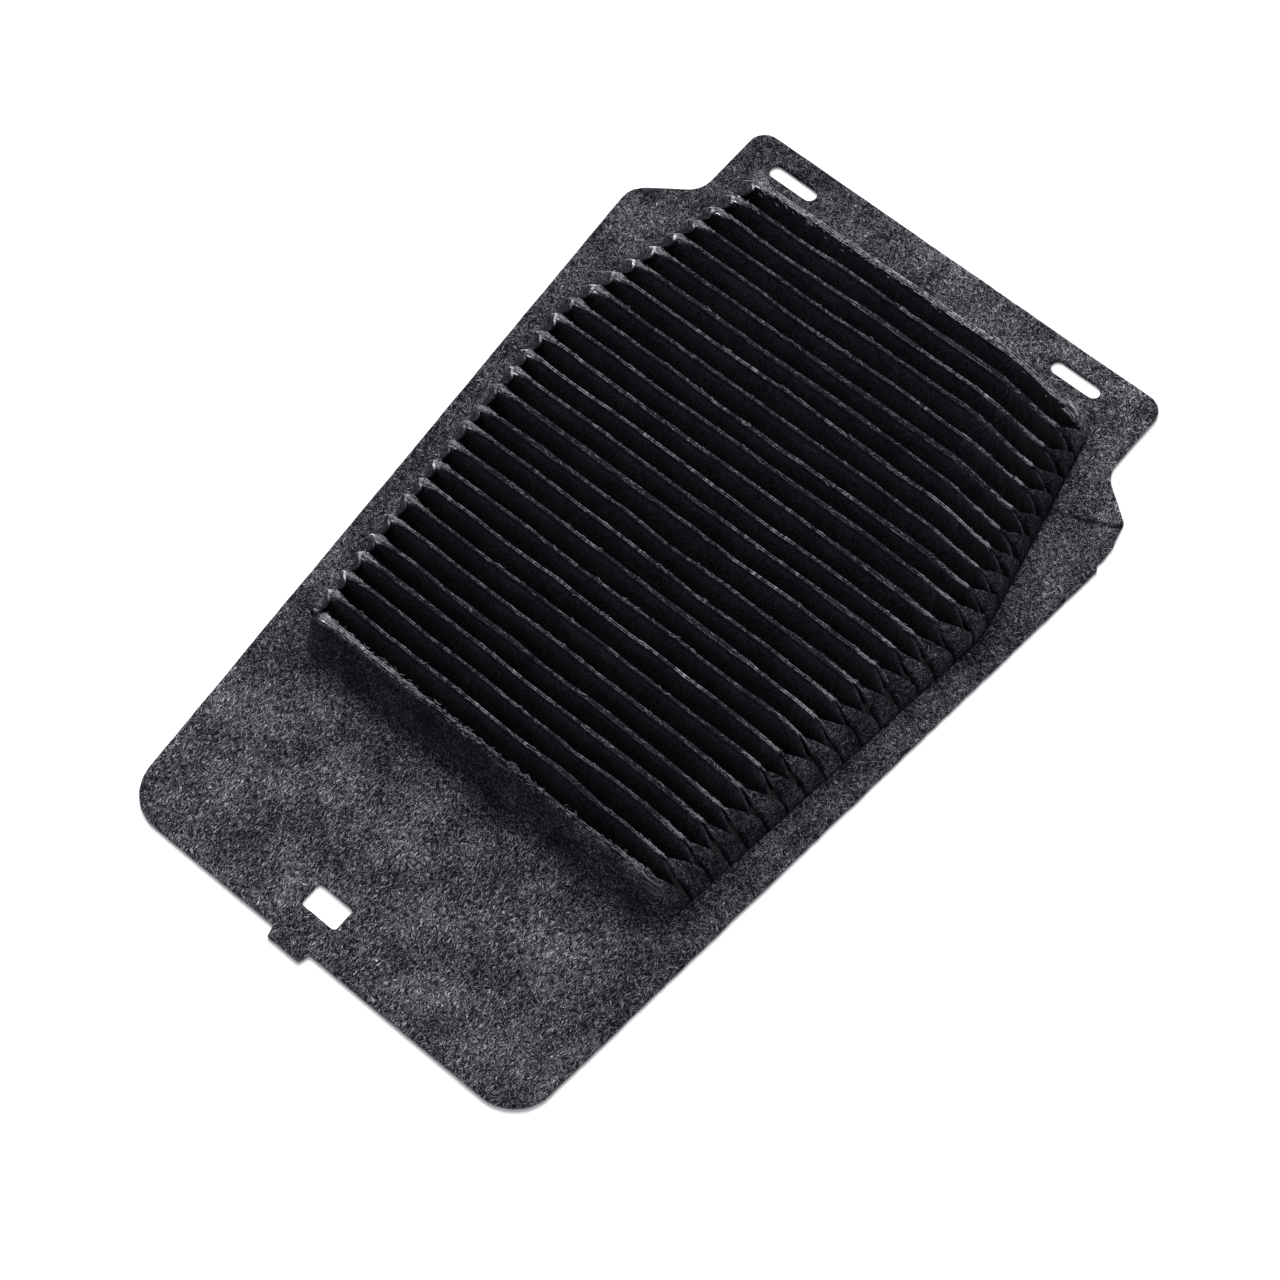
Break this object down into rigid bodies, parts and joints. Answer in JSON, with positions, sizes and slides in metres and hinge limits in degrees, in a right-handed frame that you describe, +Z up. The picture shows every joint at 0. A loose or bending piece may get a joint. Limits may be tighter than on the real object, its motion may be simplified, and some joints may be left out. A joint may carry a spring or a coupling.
{
  "type": "panel air filter",
  "caption": "Flat panel air filter: a die-cut black felt flange with a locating tab, a square hole and slots, and a pleated non-woven pack bonded into its six-sided window.",
  "frame": {"origin": "the middle of the filter's footprint, tab included, on the underside of the flange", "axes": "+Z up out of the flange towards the pleat ridges, +Y from the narrow end with the tab to the tongue with the two slots, +X to the right when looking along +Y"},
  "size_m": [0.176, 0.2732, 0.018],
  "materials": {
    "flange_felt": "charcoal needled felt, matt, with short pale loose fibres",
    "filter_media": "black pleated non-woven, matt, with pale fuzz along the folds",
    "band_felt": "dark felt strip, matt, creased at every pleat end",
    "hot_melt": "black hot-melt adhesive, slightly glossy"
  },
  "bodies": {
    "root": {"flange_sheet": "flange_felt", "pleated_media": "filter_media", "side_band_left": "band_felt", "side_band_right": "band_felt", "bond_bead_left": "hot_melt", "bond_bead_right": "hot_melt", "bond_bead_front": "hot_melt", "bond_bead_rear": "hot_melt"}
  },
  "joints": []
}
